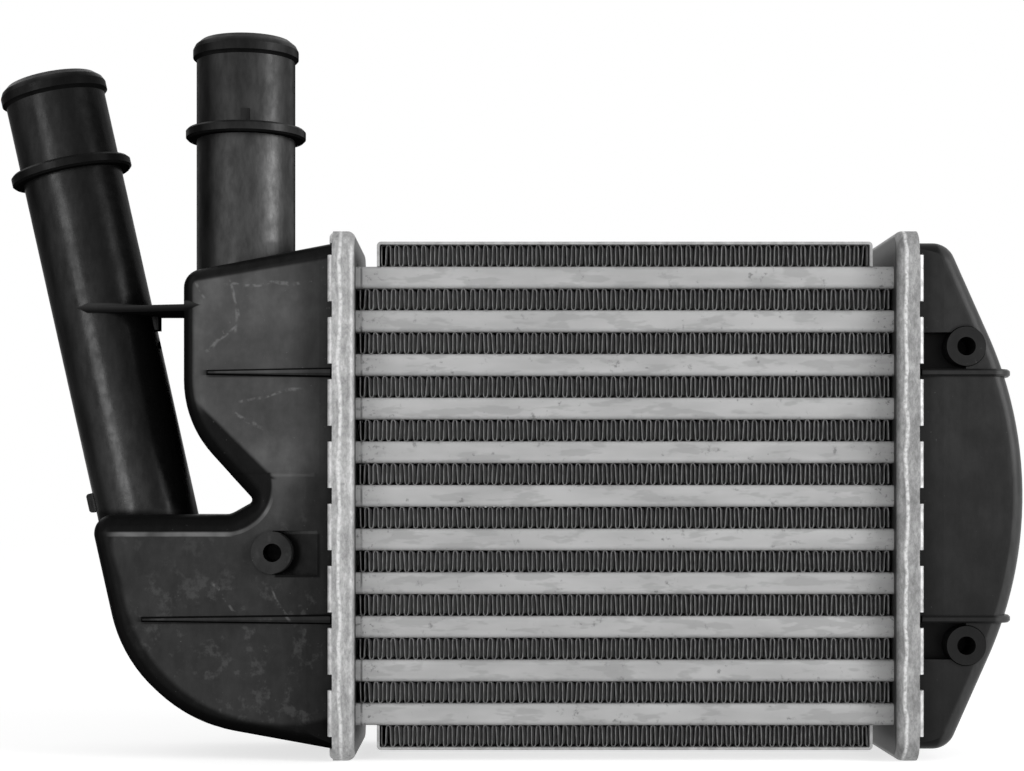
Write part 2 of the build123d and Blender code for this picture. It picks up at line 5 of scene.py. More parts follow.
import bmesh
import bpy
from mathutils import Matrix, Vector


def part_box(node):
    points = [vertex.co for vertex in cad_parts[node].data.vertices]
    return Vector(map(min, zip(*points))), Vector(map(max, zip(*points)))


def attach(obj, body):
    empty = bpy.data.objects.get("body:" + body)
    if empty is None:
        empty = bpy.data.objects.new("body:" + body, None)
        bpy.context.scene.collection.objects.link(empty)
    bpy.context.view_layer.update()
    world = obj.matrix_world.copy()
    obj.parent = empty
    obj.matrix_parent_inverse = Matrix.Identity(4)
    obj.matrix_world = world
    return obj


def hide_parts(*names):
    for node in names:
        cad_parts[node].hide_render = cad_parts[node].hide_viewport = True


# Charge-air cooler, dressed for the render: dusty black moulded tanks, mottled
# aluminium header plates, dull tubes and finely folded fins.
# Metres, +Z up, front towards -Y, in the frame of the CAD model. A pair of plain
# numbers that stands for a place or a size is its x and z on the front, in mm.

MM = 0.001
WHITE = (1.0, 1.0, 1.0, 1.0)

# Camera: level, straight at the front, its frame shifted up and to the right
CAMERA_X = -6.15 * MM
CAMERA_Y = -791.0 * MM
CAMERA_Z = 96.57 * MM
CAMERA_LENS = 70.85
CAMERA_SHIFT_X = 0.0234
CAMERA_SHIFT_Y = 0.1167

# Studio: a strong soft box far to the right, a weaker low one to the left
FLOOR_SIZE = 8.0
FLOOR_GREY = 0.6
FLOOR_GLOW = 0.7
ROOM_GREY = 0.5
AIM = (-0.03, 0.0, 0.12)
RIGHT_LAMP = (1.15, -0.5, 0.4)
RIGHT_POWER = 10.0
RIGHT_SIZE = 0.58
LEFT_LAMP = (-0.75, -1.05, 0.16)
LEFT_POWER = 4.5
LEFT_SIZE = 0.5

# Core and header plates: the middle of the core, and distances from it: the lines of the
# painted highlight along each plate's ridge and its waver, the inner bend that takes painted
# shade, the tab bend that takes a painted highlight, and the scribe mark on the tubes.
CORE_X = 45.4 * MM
LEFT_RIDGE_HIGHLIGHT = 107.3 * MM
RIGHT_RIDGE_HIGHLIGHT = 105.0 * MM
RIDGE_WAVER = 0.6 * MM
HEADER_INSIDE = 102.0 * MM
TAB_BEND = 109.8 * MM
SCRIBE_MARK = 99.3 * MM

# Tones of a header plate, as painted light and shade on the two slopes of its ridge: on the
# core's side of its ridge, and towards its tabs
LEFT_HEADER_LIGHT_AND_SHADE = (0.39, 0.36)
RIGHT_HEADER_LIGHT_AND_SHADE = (0.25, 0.3)

# Tanks: their front and back faces lie at least this far from the middle
FACE_DEPTH = 30.0 * MM

# Left tank: levels and lines on its front. The sloping top is a rise per length and
# a height carried to x = 0.
BAFFLE_Z = 108.25 * MM
WEB_Z = 172.0 * MM
THROAT_X = -74.8 * MM
STUBS_PART_X = -122.5 * MM
TOP_SLOPE = 0.17
TOP_Z = 204.95 * MM

# Left tank: the edge of its front face is a round and a slope in the corner between
# chamber and lobe, and a large round on the lobe, whose reach grows towards its top.
# Past this edge the dust gives way to painted shade.
# ACROSS_SLOPE is the way straight across the slope, in degrees from the level.
CROOK = (-105.3, 104.1)
CROOK_REACH = 17.8 * MM
SLOPE_POINT = (-109.1, 128.6)
ACROSS_SLOPE = 45.57
LOBE = (-83.6, 75.0)
LOBE_REACH = 61.3 * MM
LOBE_REACH_GROWS = 3.8 * MM

# Bosses and tips of the ribs on the faces
BOSS_RADIUS = 8.0 * MM
FEED_BOSS = (-87.8, 78.6)
RETURN_BOSSES = ((173.7, 156.9), (173.7, 43.8))
FACE_RIB_TIPS = ((-112.3, 146.5), (-136.8, 53.5))

# Axes of the two stubs: x and z of a point in mm, and the lean in degrees
STUB_AXES = ((-101.1, 190.0, 0.0), (-139.6, 93.9, 12.6))
STUB_RADIUS = 19.25 * MM

# Rectangles on the front of the left tank: middle, half size and soft edge
NECK_PATCH = ((-86.0, 105.0), (4.0, 9.0), (13.0, 13.0))
LEDGE_PATCH = ((-79.7, 108.0), (7.5, 0.4), (1.0, 0.6))
RECESS_PATCH = ((-78.0, 77.5), (8.0, 7.9), (1.0, 0.6))
GUSSET_PATCH = ((-128.0, 166.0), (7.0, 8.0), (0.5, 1.0))
LOBE_EDGE_PATCH = ((-125.0, 85.5), (20.0, 0.45), (6.0, 0.8))
LOBE_EDGE_Z = LOBE_EDGE_PATCH[0][1] * MM

# Scratches in the dust of the left tank: x and z of the middle and the length, in mm,
# and the slant in degrees
SCRATCHES = (
    (-91.4, 180.0, 27.0, 2.0),
    (-101.9, 174.4, 12.0, -73.0),
    (-101.2, 167.0, 8.0, 88.0),
    (-106.8, 159.4, 13.0, 40.0),
    (-115.3, 177.3, 5.0, -60.0),
    (-88.0, 138.0, 22.0, 12.0),
    (-96.0, 128.0, 12.0, -35.0),
    (-105.0, 61.0, 14.0, -50.0),
    (-84.0, 58.0, 12.0, -62.0),
)

# Black plastic: each tank's own grey, and the specular level of both
STUB_TANK_GREY = 0.005
RETURN_TANK_GREY = 0.006
PLASTIC_SHINE = 0.16

# What each stub adds to the specular level, at its foot and higher up, and to the
# roughness. Dust adds its roughness as a multiple of its grey.
LEANING_SHINE = (0.46, 0.2)
UPRIGHT_SHINE = (0.9, 0.5)
LEANING_ROUGHNESS = -0.1
UPRIGHT_ROUGHNESS = 0.08
DUST_ROUGHNESS = 12.0

# Greys of the web, as painted shade on its underside and a painted highlight on top
WEB_SHADE_GREYS = (0.003, 0.04)

# Dust on the right tank, as the grey that it adds: at its foot, from the middle up,
# in specks, and the grey of a painted highlight with some wear where the rounding faces right
RETURN_FOOT_DUST = 0.0125
RETURN_DUST = 0.0225
RETURN_SPECK_DUST = 0.04
RETURN_WORN_AND_HIGHLIT_GREY = 0.044

# Dust on the left tank, in the same way. Some places lose a share of it as painted shade:
# past the face's edge and under the ribs. The ledge and the worn edges take a painted
# highlight, and the recess keeps a little dust under painted shade.
PAST_FACE_SHADE = 0.93
RIB_SHADOW_SHARE = 0.7
LOBE_DUST = 0.026
CHAMBER_DUST = 0.066
CROWN_DUST = 0.02
CORNER_DUST = 0.018
NECK_DUST = 0.032
LEDGE_HIGHLIGHT = 0.022
SMEAR_DUST = 0.03
SCRATCH_DUST = 0.075
SPECK_DUST = 0.06
RECESS_SHADED_DUST = 0.006
STUB_DUST = 0.012
WORN_AND_HIGHLIT_GREY = 0.17

# Noise mostly stays between these
NOISE_LOW = 0.3
NOISE_HIGH = 0.7

# Folded fins: upright walls with round crests, a little out of line, waving inside
# so that no gap shows through. The wave dies out over FIN_CALM at a row's ends.
FIN_PERIOD = 3.35 * MM
FIN_SHEET = 0.28 * MM
FIN_JITTER = 0.16 * MM
FIN_LEAN = 0.2 * MM
FIN_WAVE = 1.1 * MM
FIN_CALM = 4.0 * MM
FIN_SEED = 7

# Crest of a fold: across, up and how far the wave carries it, as shares, and the
# height at which a row begins and ends, as a share
CREST = ((-0.47, 0.72, 1.0), (-0.32, 0.93, 0.4), (0.0, 1.0, 0.0), (0.32, 0.93, 0.4), (0.47, 0.72, 1.0))
END_HEIGHT = 0.9

# Bends of a wall: depth from the nearer face in mm, and its share of the wave.
# The crests wave only from CREST_DEPTH on.
FIN_BENDS = ((0.0, 0.0), (0.8, 0.0), (2.8, 1.0), (6.0, -1.0), (12.0, 1.0))
CREST_DEPTH = 5.0 * MM


def grey(value):
    return (value, value, value, 1.0)


def new_material(name, colour, roughness, metallic=0.0):
    """A material and its shader node, with the main settings made."""
    material = bpy.data.materials.new(name)
    material.use_nodes = True
    shader = material.node_tree.nodes["Principled BSDF"]
    shader.inputs["Base Color"].default_value = grey(colour)
    shader.inputs["Roughness"].default_value = roughness
    shader.inputs["Metallic"].default_value = metallic
    return material, shader


def add(tree, kind, settings=None, **inputs):
    """New node. An input goes by its name, or by its number as i0, i1 and so on, and
    takes a number, a colour or another node's output."""
    node = tree.nodes.new(kind)
    for name, value in (settings or {}).items():
        setattr(node, name, value)
    for name, value in inputs.items():
        index = int(name[1:]) if name[0] == "i" and name[1:].isdigit() else name
        if isinstance(value, bpy.types.NodeSocket):
            tree.links.new(value, node.inputs[index])
        else:
            node.inputs[index].default_value = value
    return node


def calculate(tree, operation, first, second=0.0):
    node = add(tree, "ShaderNodeMath", {"operation": operation}, i0=first, i1=second)
    return node.outputs[0]


def minus(tree, first, second):
    return calculate(tree, "SUBTRACT", first, second)


def size_of(tree, value):
    """A value without its sign."""
    return calculate(tree, "ABSOLUTE", value)


def total(tree, *values):
    """Sum of several values."""
    result = values[0]
    for value in values[1:]:
        result = calculate(tree, "ADD", result, value)
    return result


def times(tree, *values):
    """Product of several values."""
    result = values[0]
    for value in values[1:]:
        result = calculate(tree, "MULTIPLY", result, value)
    return result


def largest(tree, *values):
    """Largest of several values."""
    result = values[0]
    for value in values[1:]:
        result = calculate(tree, "MAXIMUM", result, value)
    return result


def smallest(tree, first, second):
    return calculate(tree, "MINIMUM", first, second)


def hypotenuse(tree, first, second):
    square = total(tree, times(tree, first, first), times(tree, second, second))
    return calculate(tree, "SQRT", square)


def without(tree, mask, share=1.0):
    """1 off the mask, and less by the share on it."""
    return minus(tree, 1.0, times(tree, mask, share))


def ramp(tree, value, start, end, low=0.0, high=1.0):
    """Smooth change from low to high as value goes from start to end."""
    node = add(
        tree,
        "ShaderNodeMapRange",
        {"interpolation_type": "SMOOTHSTEP"},
        i0=value,
        i1=start,
        i2=end,
        i3=low,
        i4=high,
    )
    return node.outputs[0]


def band(tree, value, middle, half_width, soft):
    """1 within half_width of the middle, falling to 0 over the soft width."""
    off = size_of(tree, minus(tree, value, middle))
    return ramp(tree, off, half_width, half_width + soft, 1.0, 0.0)


def blend_greys(tree, factor, first, second):
    """Colour between two greys or colours."""
    node = tree.nodes.new("ShaderNodeMix")
    node.data_type = "RGBA"
    for index, value in ((0, factor), (6, first), (7, second)):
        if isinstance(value, bpy.types.NodeSocket):
            tree.links.new(value, node.inputs[index])
        elif index == 0:
            node.inputs[index].default_value = value
        else:
            node.inputs[index].default_value = grey(value)
    return node.outputs[2]


def place(tree, stretch=(1.0, 1.0, 1.0)):
    """Point on the object, in metres, stretched along the axes."""
    coordinates = tree.nodes.new("ShaderNodeTexCoord")
    mapping = add(tree, "ShaderNodeMapping", Vector=coordinates.outputs["Object"], Scale=stretch)
    return mapping.outputs[0]


def axes(tree):
    """X, Y and Z of the point on the object."""
    split = add(tree, "ShaderNodeSeparateXYZ", i0=place(tree))
    return split.outputs


def facing(tree):
    """X, Y and Z of the way that the surface faces."""
    coordinates = tree.nodes.new("ShaderNodeTexCoord")
    split = add(tree, "ShaderNodeSeparateXYZ", i0=coordinates.outputs["Normal"])
    return split.outputs


def noise(tree, size, detail=3.0, rough=0.55, stretch=(1.0, 1.0, 1.0)):
    """Grey noise whose blotches are about size across."""
    node = add(
        tree,
        "ShaderNodeTexNoise",
        Vector=place(tree, stretch),
        Scale=1.0 / size,
        Detail=detail,
        Roughness=rough,
    )
    return node.outputs[0]


def mottle(tree, low, high, *pattern):
    """Noise that goes from low to high. The pattern is what noise takes."""
    return ramp(tree, noise(tree, *pattern), NOISE_LOW, NOISE_HIGH, low, high)


def bump(tree, shader, height, strength, distance):
    node = add(
        tree,
        "ShaderNodeBump",
        Strength=strength,
        Distance=distance,
        Height=height,
    )
    tree.links.new(node.outputs[0], shader.inputs["Normal"])


# Skin of a tank: its node tree, where each point is, how it faces, 1 where it faces
# the front or the back, and 1 at the depth of those faces
Skin = namedtuple("Skin", "tree x y z across out up front on_face")


def moulded_black(name):
    """Black plastic with a fine grain, still without its dust, and its skin."""
    material, shader = new_material(name, colour=0.008, roughness=0.36)
    shader.inputs["IOR"].default_value = 1.35
    shader.inputs["Specular IOR Level"].default_value = PLASTIC_SHINE
    tree = material.node_tree
    bump(tree, shader, noise(tree, 0.9 * MM), 0.1, 0.2 * MM)
    x, y, z = axes(tree)
    across, out, up = facing(tree)
    # Dust goes only where the skin faces the front or the back, so the flanks and rounded edges stay
    # dark as painted shade.
    front = ramp(tree, size_of(tree, out), 0.9, 0.985)
    on_face = ramp(tree, size_of(tree, y), FACE_DEPTH - 2 * MM, FACE_DEPTH)
    return material, shader, Skin(tree, x, y, z, across, out, up, front, on_face)


def patch(skin, middle, half_size, soft):
    """1 in a rectangle on the front, falling to 0 over its soft edges."""
    sides = zip((skin.x, skin.z), middle, half_size, soft)
    bands = (band(skin.tree, value, at * MM, half * MM, edge * MM) for value, at, half, edge in sides)
    return times(skin.tree, *bands)


def offset_from(skin, point):
    """How far the place is to the right of a point on the front, and above it."""
    right = minus(skin.tree, skin.x, point[0] * MM)
    above = minus(skin.tree, skin.z, point[1] * MM)
    return right, above


def distance_from(skin, point):
    """How far the place is from a point on the front, in metres."""
    return hypotenuse(skin.tree, *offset_from(skin, point))


def distance_along(skin, point, slant):
    """How far the place is past a point, along a line of that slant in degrees."""
    right, above = offset_from(skin, point)
    turn = radians(slant)
    tree = skin.tree
    return total(tree, times(tree, right, cos(turn)), times(tree, above, sin(turn)))


def off_axis(skin, axis):
    """How far the place is from a stub's axis, in metres."""
    x, z, lean = axis
    return hypotenuse(skin.tree, distance_along(skin, (x, z), lean), skin.y)


def scratch(skin, mark):
    """Thin wavering line in the dust."""
    tree = skin.tree
    x, z, length, slant = mark
    along = distance_along(skin, (x, z), slant)
    across = distance_along(skin, (x, z), slant + 90)
    waver = mottle(tree, -0.7 * MM, 0.7 * MM, 9 * MM, 1.0)
    line = band(tree, across, waver, 0.15 * MM, 0.65 * MM)
    return times(tree, line, band(tree, along, 0.0, length * MM / 2, 2 * MM))


def scratches(skin):
    """All the scratches, broken up along their length."""
    lines = largest(skin.tree, *(scratch(skin, mark) for mark in SCRATCHES))
    broken = ramp(skin.tree, noise(skin.tree, 2.4 * MM), 0.4, 0.62)
    return times(skin.tree, lines, broken, SCRATCH_DUST)


def rib_shadow(skin, tip):
    """Painted shadow: a dark line under a rib on the face, closing round its tip."""
    tree = skin.tree
    past_tip, height = offset_from(skin, tip)
    under = times(
        tree,
        band(tree, height, -1.0 * MM, 0.6 * MM, 0.4 * MM),
        ramp(tree, past_tip, -0.8 * MM, 1.5 * MM),
    )
    end = times(
        tree,
        band(tree, height, 0.0, 0.8 * MM, 0.4 * MM),
        band(tree, past_tip, 1.2 * MM, 1.2 * MM, 2.5 * MM),
    )
    return largest(tree, under, end)


def neck_corner(skin):
    """1 past the edge of the face in the corner between chamber and lobe, where painted
    shade takes the dust: on its round, on the slope above it and on the strip below it."""
    tree, x, z = skin.tree, skin.x, skin.z
    from_crook = distance_from(skin, CROOK)
    past_slope = distance_along(skin, SLOPE_POINT, ACROSS_SLOPE)
    on_round = times(
        tree,
        ramp(tree, from_crook, CROOK_REACH - 0.6 * MM, CROOK_REACH + 0.6 * MM, 1.0, 0.0),
        ramp(tree, z, 109.4 * MM, 108.4 * MM),
    )
    on_slope = times(
        tree,
        ramp(tree, past_slope, -0.8 * MM, 1.0 * MM, 1.0, 0.0),
        ramp(tree, z, 105.8 * MM, 106.8 * MM),
        ramp(tree, z, 140 * MM, 130 * MM),
    )
    on_strip = times(
        tree,
        ramp(tree, z, LOBE_EDGE_Z + 0.4 * MM, LOBE_EDGE_Z + 1.2 * MM),
        ramp(tree, z, 104 * MM, 102 * MM),
        ramp(tree, x, -104.5 * MM, -105.3 * MM),
    )
    return largest(tree, on_round, on_slope, on_strip)


def lobe_rim(skin):
    """Nearly 1 past the large round of the lobe's face, where painted shade takes the dust."""
    tree, z = skin.tree, skin.z
    reach = ramp(tree, z, 66 * MM, 85 * MM, LOBE_REACH, LOBE_REACH + LOBE_REACH_GROWS)
    past_reach = minus(tree, distance_from(skin, LOBE), reach)
    return times(
        tree,
        ramp(tree, past_reach, -1.4 * MM, 1.0 * MM),
        ramp(tree, z, 92 * MM, 88 * MM),
        0.9,
    )


def settled_dust(skin):
    """Dust by place: thick on the chamber, most at its crown and by its flank, and on
    the neck, thin on the lobe."""
    tree, x, z = skin.tree, skin.x, skin.z
    by_height = ramp(tree, z, BAFFLE_Z - 8 * MM, BAFFLE_Z + 9 * MM, LOBE_DUST, CHAMBER_DUST)
    crown = ramp(tree, z, 150 * MM, 175 * MM, 0.0, CROWN_DUST)
    corner = times(
        tree,
        ramp(tree, x, -118 * MM, -106 * MM, CORNER_DUST, 0.0),
        ramp(tree, z, BAFFLE_Z, BAFFLE_Z + 8 * MM),
    )
    neck = times(tree, patch(skin, *NECK_PATCH), NECK_DUST)
    return total(tree, by_height, crown, corner, neck)


def throat_shade_share(skin):
    """Share of the dust that is left towards the throat, whose line bends with height: painted
    shade where the face bends back towards the header.
    """
    tree, z = skin.tree, skin.z
    past_throat = total(
        tree,
        minus(tree, skin.x, THROAT_X),
        ramp(tree, z, 100 * MM, 118 * MM, 12 * MM, 0.0),
        ramp(tree, z, 128 * MM, 150 * MM, 0.0, 7 * MM),
    )
    return ramp(tree, past_throat, 0.0, 9 * MM, 1.0, 0.56)


def low_smears(skin):
    """Smears of dust on the lobe, most at its bottom."""
    tree, z = skin.tree, skin.z
    return times(
        tree,
        ramp(tree, noise(tree, 7 * MM, 4.0, 0.65), 0.54, 0.68),
        ramp(tree, z, 60 * MM, 76 * MM, 1.0, 0.45),
        ramp(tree, z, BAFFLE_Z - 20 * MM, BAFFLE_Z - 8 * MM, SMEAR_DUST, 0.0),
    )


def uneven_dust_and_shade(skin, past_face):
    """Dust of the left tank's face, in clouds and streaks, with its smears and marks, a painted
    highlight along the step, and painted shade towards the throat and past the face's edge.
    """
    tree = skin.tree
    # Painted shade past the face's edge takes away most of the dust.
    outside_edge_shade = without(tree, past_face, PAST_FACE_SHADE)
    from_boss = distance_from(skin, FEED_BOSS)
    boss = ramp(tree, from_boss, BOSS_RADIUS, BOSS_RADIUS + 1.0 * MM, 0.85, 1.0)
    # Less dust towards the throat, as painted shade.
    settled = times(tree, settled_dust(skin), throat_shade_share(skin), boss, outside_edge_shade)
    # Painted highlight along the edge of the step.
    ledge_highlight = times(tree, patch(skin, *LEDGE_PATCH), LEDGE_HIGHLIGHT)
    clouds = mottle(tree, 0.78, 1.25, 16 * MM, 4.0, 0.62)
    streaks = mottle(tree, 0.9, 1.1, 5 * MM, 3.0, 0.6, (1.0, 1.0, 0.35))
    smears = times(tree, low_smears(skin), outside_edge_shade)
    specks = ramp(tree, noise(tree, 1.7 * MM, 2.0, 0.7), 0.7, 0.78, 0.0, SPECK_DUST)
    marks = largest(tree, scratches(skin), specks)
    return total(tree, times(tree, total(tree, settled, ledge_highlight), clouds, streaks), smears, marks)


def recess_mask(skin):
    """1 on the floor of the recess beside the boss."""
    tree = skin.tree
    off_boss = ramp(tree, distance_from(skin, FEED_BOSS), BOSS_RADIUS - 0.4 * MM, BOSS_RADIUS)
    return times(tree, off_boss, patch(skin, *RECESS_PATCH))


def recess_dust_and_shade(skin, recess):
    """Thin dust on the recess's floor, most at its upper right, under painted shade that keeps
    the floor dark, darkest at its lower left.
    """
    tree = skin.tree
    return times(
        tree,
        recess,
        ramp(tree, skin.x, -82 * MM, -71 * MM, 0.3, 1.0),
        ramp(tree, skin.z, 70 * MM, 84 * MM, 0.5, 1.0),
        RECESS_SHADED_DUST,
    )


def web_mask(skin):
    """1 on the web between the stubs, which thins towards its ends."""
    tree, x = skin.tree, skin.x
    half_height = smallest(
        tree,
        ramp(tree, x, -165.5 * MM, -157 * MM, 0.0, 2.8 * MM),
        ramp(tree, x, -121 * MM, -113 * MM, 2.2 * MM, 0.0),
    )
    off_middle = size_of(tree, minus(tree, skin.z, WEB_Z))
    return ramp(tree, minus(tree, half_height, off_middle), 0.0, 0.5 * MM)


def gusset_shade_mask(skin):
    """1 on the two sides of the gusset under the web, which are painted black as shade."""
    sideways_on = ramp(skin.tree, size_of(skin.tree, skin.across), 0.6, 0.8)
    return times(skin.tree, sideways_on, patch(skin, *GUSSET_PATCH))


def worn_and_highlit_edges(skin):
    """Edge of the face made pale, as a painted highlight with some wear, under the neck's round
    and along the lobe's top.
    """
    tree, x, z = skin.tree, skin.x, skin.z
    by_crook = times(
        tree,
        band(tree, distance_from(skin, CROOK), CROOK_REACH + 0.8 * MM, 0.35 * MM, 0.7 * MM),
        ramp(tree, x, -105.5 * MM, -104.5 * MM),
        ramp(tree, z, 104 * MM, 98 * MM),
    )
    return times(
        tree,
        largest(tree, by_crook, patch(skin, *LOBE_EDGE_PATCH)),
        skin.front,
        skin.on_face,
        ramp(tree, noise(tree, 13 * MM, 2.0), 0.35, 0.65, 0.35, 1.0),
        WORN_AND_HIGHLIT_GREY,
    )


def above_top(skin):
    """How far the place is above the chamber's sloping top."""
    slope = times(skin.tree, skin.x, TOP_SLOPE)
    return minus(skin.tree, minus(skin.tree, skin.z, slope), TOP_Z)


def stub_masks(skin):
    """1 on the upright stub, and 1 on the leaning one."""
    tree, x, z = skin.tree, skin.x, skin.z
    left = STUBS_PART_X - 1.5 * MM
    right = STUBS_PART_X + 1.5 * MM
    over_top = ramp(tree, above_top(skin), 0.5 * MM, 2.5 * MM)
    upright = times(tree, over_top, ramp(tree, x, left, right))
    leaning = times(tree, ramp(tree, z, 93 * MM, 96 * MM), ramp(tree, x, right, left))
    return upright, leaning


def off_beads(skin, on_stubs):
    """1 off the beads and collars of the stubs, and less on them."""
    tree = skin.tree
    from_axis = smallest(tree, *(off_axis(skin, axis) for axis in STUB_AXES))
    past_stub = ramp(tree, from_axis, STUB_RADIUS + 0.4 * MM, STUB_RADIUS + 1.1 * MM)
    return without(tree, times(tree, on_stubs, past_stub), 0.55)


# Areas of the left tank's skin: 1 in each, and those that start with off 1 outside it
Areas = namedtuple("Areas", "past_face recess web off_web upright leaning on_stubs off_beads")


def stub_tank_areas(skin):
    tree = skin.tree
    web = web_mask(skin)
    upright, leaning = stub_masks(skin)
    on_stubs = largest(tree, upright, leaning)
    return Areas(
        past_face=largest(tree, neck_corner(skin), lobe_rim(skin)),
        recess=recess_mask(skin),
        web=web,
        # Dust and shine come off the web and off the gusset's sides, painted black as shade.
        off_web=without(tree, largest(tree, web, gusset_shade_mask(skin))),
        upright=upright,
        leaning=leaning,
        on_stubs=on_stubs,
        off_beads=off_beads(skin, on_stubs),
    )


def face_dust_and_shade(skin, areas):
    """Dust of the left tank's face and recess, with painted shade: less at the top edge, under
    the ribs as their shadow, past the face's edge and in the recess.
    """
    tree = skin.tree
    rib_shadows = largest(tree, *(rib_shadow(skin, tip) for tip in FACE_RIB_TIPS))
    dust_and_shade = times(
        tree,
        uneven_dust_and_shade(skin, areas.past_face),
        skin.front,
        skin.on_face,
        areas.off_web,
        # Painted shade: less dust just under the top edge.
        ramp(tree, above_top(skin), -4.9 * MM, -3.6 * MM, 1.0, 0.12),
        # Painted shadow under the ribs.
        without(tree, rib_shadows, RIB_SHADOW_SHARE),
        # Painted shade in the recess: its dust is taken off here.
        without(tree, areas.recess),
    )
    return total(tree, dust_and_shade, recess_dust_and_shade(skin, areas.recess))


def stub_film(skin, areas):
    """Streaky film on the fronts of the stubs, less on the right of the leaning one, as
    painted shade.
    """
    tree = skin.tree
    # Share of the film taken off the leaning stub's right, as painted shade.
    right = ramp(tree, skin.across, -0.15, 0.35, 0.0, 0.8)
    return times(
        tree,
        areas.on_stubs,
        areas.off_beads,
        areas.off_web,
        ramp(tree, noise(tree, 12 * MM, 3.0, 0.6, (1.0, 1.0, 0.4)), 0.35, 0.7, 0.2, 1.0),
        ramp(tree, skin.out, 0.0, -0.9),
        without(tree, times(tree, areas.leaning, right)),
        STUB_DUST,
    )


def stub_tank_colour(skin, areas, dust_and_shade):
    """Grey of the left tank: dust with its painted shade and highlights, the edges' painted
    highlight, the stubs' film and the web's painted shade, over the plastic's own.
    """
    tree = skin.tree
    # Painted shade on the web's underside, painted highlight on its top.
    web_shading = ramp(tree, skin.z, WEB_Z - 1.5 * MM, WEB_Z + 1.5 * MM, *WEB_SHADE_GREYS)
    on_web = times(tree, areas.web, web_shading)
    shown = largest(tree, dust_and_shade, worn_and_highlit_edges(skin), stub_film(skin, areas), on_web)
    return total(tree, shown, STUB_TANK_GREY)


def stub_tank_roughness(skin, areas, dust_and_shade):
    """Roughness of the left tank, most where it is dusty."""
    tree = skin.tree
    plastic = total(
        tree,
        mottle(tree, 0.32, 0.42, 4 * MM),
        times(tree, areas.leaning, LEANING_ROUGHNESS),
        times(tree, areas.upright, UPRIGHT_ROUGHNESS),
    )
    return largest(tree, plastic, times(tree, dust_and_shade, DUST_ROUGHNESS))


def stub_shine(skin, areas):
    """What the stubs add to the specular level: most low down, and on the right of the
    upright one."""
    tree, z = skin.tree, skin.z
    on_leaning = ramp(tree, z, 105 * MM, 160 * MM, *LEANING_SHINE)
    on_upright = ramp(tree, z, 236 * MM, 246 * MM, *UPRIGHT_SHINE)
    right = ramp(tree, skin.across, -0.15, 0.4, 0.6, 1.0)
    return total(
        tree,
        times(tree, areas.leaning, on_leaning),
        times(tree, areas.upright, on_upright, right),
    )


def dull_turns(skin, leaning):
    """Shares of the shine where the skin turns away: to the left, to the right, at both
    sides of the leaning stub, below and on top."""
    tree, across = skin.tree, skin.across
    return times(
        tree,
        ramp(tree, across, -0.7, -0.42, 0.05, 1.0),
        ramp(tree, across, 0.7, 0.93, 1.0, 0.35),
        ramp(tree, size_of(tree, across), 0.93, 1.0, 1.0, 0.0),
        without(tree, times(tree, leaning, ramp(tree, across, 0.05, 0.45, 0.0, 0.65))),
        without(tree, times(tree, leaning, ramp(tree, across, -0.8, -0.45, 0.5, 0.0))),
        ramp(tree, skin.up, -0.6, 0.1),
        ramp(tree, skin.up, 0.3, 0.9, 1.0, 0.35),
    )


def stub_tank_shine(skin, areas):
    """Specular level of the left tank, dull past the face's edge and in the recess."""
    tree = skin.tree
    return times(
        tree,
        total(tree, stub_shine(skin, areas), PLASTIC_SHINE),
        mottle(tree, 0.72, 1.28, 3.5 * MM, 4.0, 0.65, (1.0, 1.0, 0.35)),
        dull_turns(skin, areas.leaning),
        areas.off_beads,
        areas.off_web,
        without(tree, times(tree, areas.past_face, skin.on_face), 0.7),
        without(tree, areas.recess, 0.6),
    )


def stub_tank_plastic():
    """Left tank: dust thick on the upper chamber's face, thin on the lobe and stubs, with
    painted shade and highlights in places.
    """
    material, shader, skin = moulded_black("stub_tank_plastic")
    areas = stub_tank_areas(skin)
    dust_and_shade = face_dust_and_shade(skin, areas)
    values = {
        "Base Color": stub_tank_colour(skin, areas, dust_and_shade),
        "Roughness": stub_tank_roughness(skin, areas, dust_and_shade),
        "Specular IOR Level": stub_tank_shine(skin, areas),
    }
    for name, value in values.items():
        skin.tree.links.new(value, shader.inputs[name])
    return material


def return_tank_plastic():
    """Right tank: evenly dusted, its outer rounding made pale where it faces right, as a painted
    highlight with some wear.
    """
    material, shader, skin = moulded_black("return_tank_plastic")
    tree = skin.tree
    by_height = ramp(tree, skin.z, 20 * MM, 150 * MM, RETURN_FOOT_DUST, RETURN_DUST)
    clouds = mottle(tree, 0.82, 1.2, 14 * MM, 4.0, 0.62)
    streaks = mottle(tree, 0.88, 1.12, 3 * MM, 3.0, 0.65, (1.0, 1.0, 0.3))
    specks = ramp(tree, noise(tree, 1.5 * MM, 2.0, 0.7), 0.7, 0.78, 0.0, RETURN_SPECK_DUST)
    from_boss = smallest(tree, *(distance_from(skin, boss) for boss in RETURN_BOSSES))
    dust_and_shade = times(
        tree,
        total(tree, times(tree, by_height, clouds, streaks), specks),
        skin.front,
        skin.on_face,
        ramp(tree, from_boss, BOSS_RADIUS - 0.4 * MM, BOSS_RADIUS + 0.2 * MM, 0.6, 1.0),
    )
    # Painted highlight with some wear where the rounding faces right.
    worn_and_highlit = times(
        tree,
        ramp(tree, skin.across, 0.08, 0.3),
        mottle(tree, 0.7, 1.0, 3 * MM, 3.0, 0.6, (1.0, 1.0, 0.3)),
        RETURN_WORN_AND_HIGHLIT_GREY,
    )
    colour = total(tree, largest(tree, dust_and_shade, worn_and_highlit), RETURN_TANK_GREY)
    tree.links.new(colour, shader.inputs["Base Color"])
    return material


